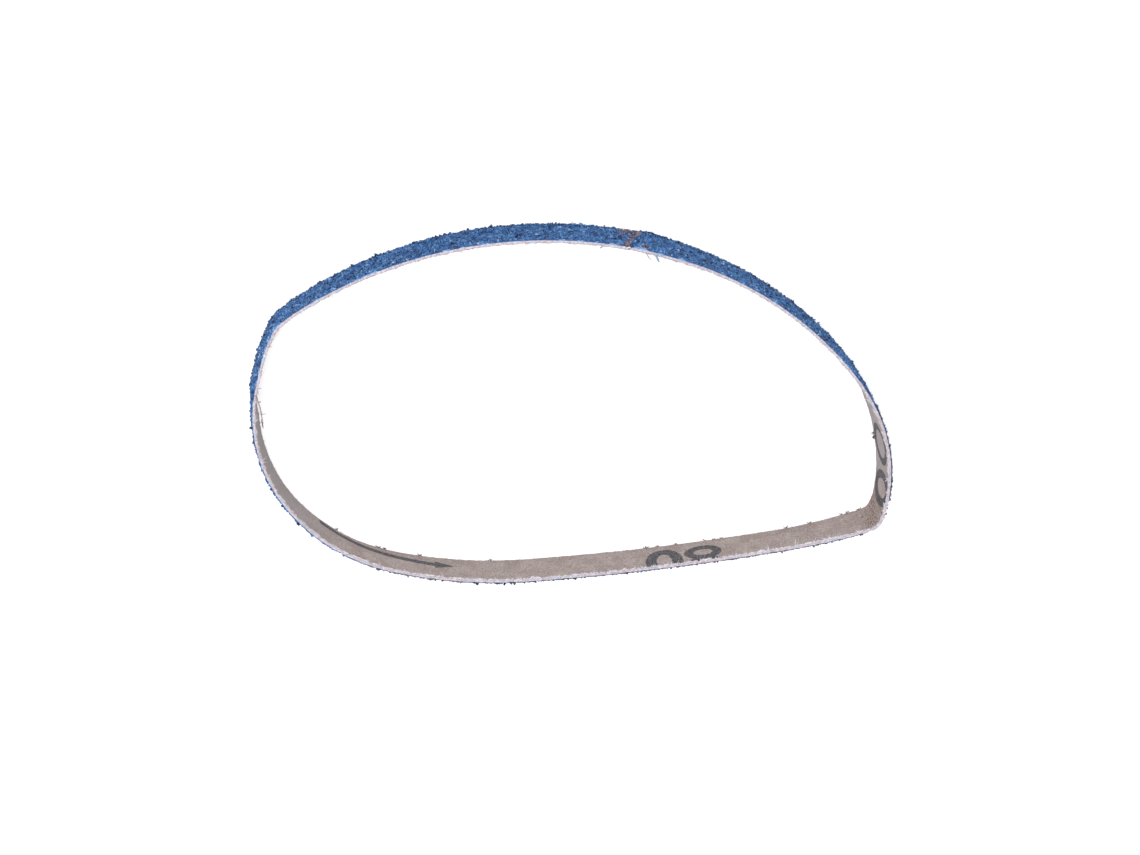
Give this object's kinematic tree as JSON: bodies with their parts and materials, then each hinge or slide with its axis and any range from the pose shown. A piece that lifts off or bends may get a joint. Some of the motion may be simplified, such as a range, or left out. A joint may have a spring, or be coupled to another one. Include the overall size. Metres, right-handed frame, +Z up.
{
  "type": "sanding belt",
  "caption": "Narrow endless abrasive belt, cloth backed with blue grain outside, standing on its edge in the creased loop that it keeps off its wheels.",
  "frame": {"origin": "middle of the loop's box, on the surface that the belt's lower edge stands on", "axes": "+Z up, across the belt's width; +X along the loop's longest reach; +Y from the side with the seam to the nearly straight side"},
  "size_m": [0.1261, 0.0792, 0.01],
  "materials": {
    "cloth": "resin-filled woven cloth, tan inside, pale and frayed at the cut edges, with dark printed numbers",
    "abrasive": "coarse blue grain set in blue resin, sharp and matt",
    "adhesive": "hard brown adhesive, rough where it was squeezed out"
  },
  "bodies": {
    "root": {"cloth_backing": "cloth", "abrasive_coat": "abrasive", "splice_seam": "adhesive"}
  },
  "joints": []
}
